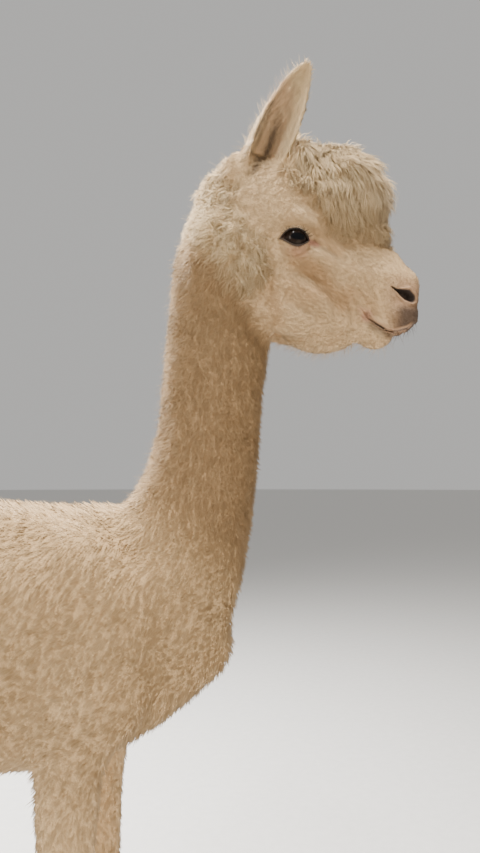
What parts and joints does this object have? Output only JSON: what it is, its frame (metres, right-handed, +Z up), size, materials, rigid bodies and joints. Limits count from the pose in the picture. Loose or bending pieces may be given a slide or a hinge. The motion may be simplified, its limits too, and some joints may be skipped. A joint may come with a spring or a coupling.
{
  "type": "alpaca",
  "caption": "Still, life-size shorn huacaya alpaca standing square, neck upright and head level, with a woolly topknot and cheeks, for a museum display.",
  "frame": {"origin": "on the floor, below the middle of the bounding box", "axes": "+X the way the animal faces, +Y its left side, +Z up"},
  "size_m": [1.1958, 0.2856, 1.3706],
  "materials": {
    "coat": "pale fawn fleece, short on the body and loose on the crown and cheeks",
    "eye": "wet, nearly black",
    "nail": "dull dark horn"
  },
  "bodies": {
    "root": {"head": "coat", "neck": "coat", "trunk": "coat", "tail": "coat", "ear_right": "coat", "ear_left": "coat", "foreleg_right": "coat", "foreleg_left": "coat", "fore_foot_right": "coat", "fore_foot_left": "coat", "thigh_right": "coat", "thigh_left": "coat", "hind_shank_right": "coat", "hind_shank_left": "coat", "hind_foot_right": "coat", "hind_foot_left": "coat", "eye_right": "eye", "eye_left": "eye", "nail_fore_right_outer": "nail", "nail_fore_right_inner": "nail", "nail_fore_left_outer": "nail", "nail_fore_left_inner": "nail", "nail_hind_right_outer": "nail", "nail_hind_right_inner": "nail", "nail_hind_left_outer": "nail", "nail_hind_left_inner": "nail"}
  },
  "joints": []
}
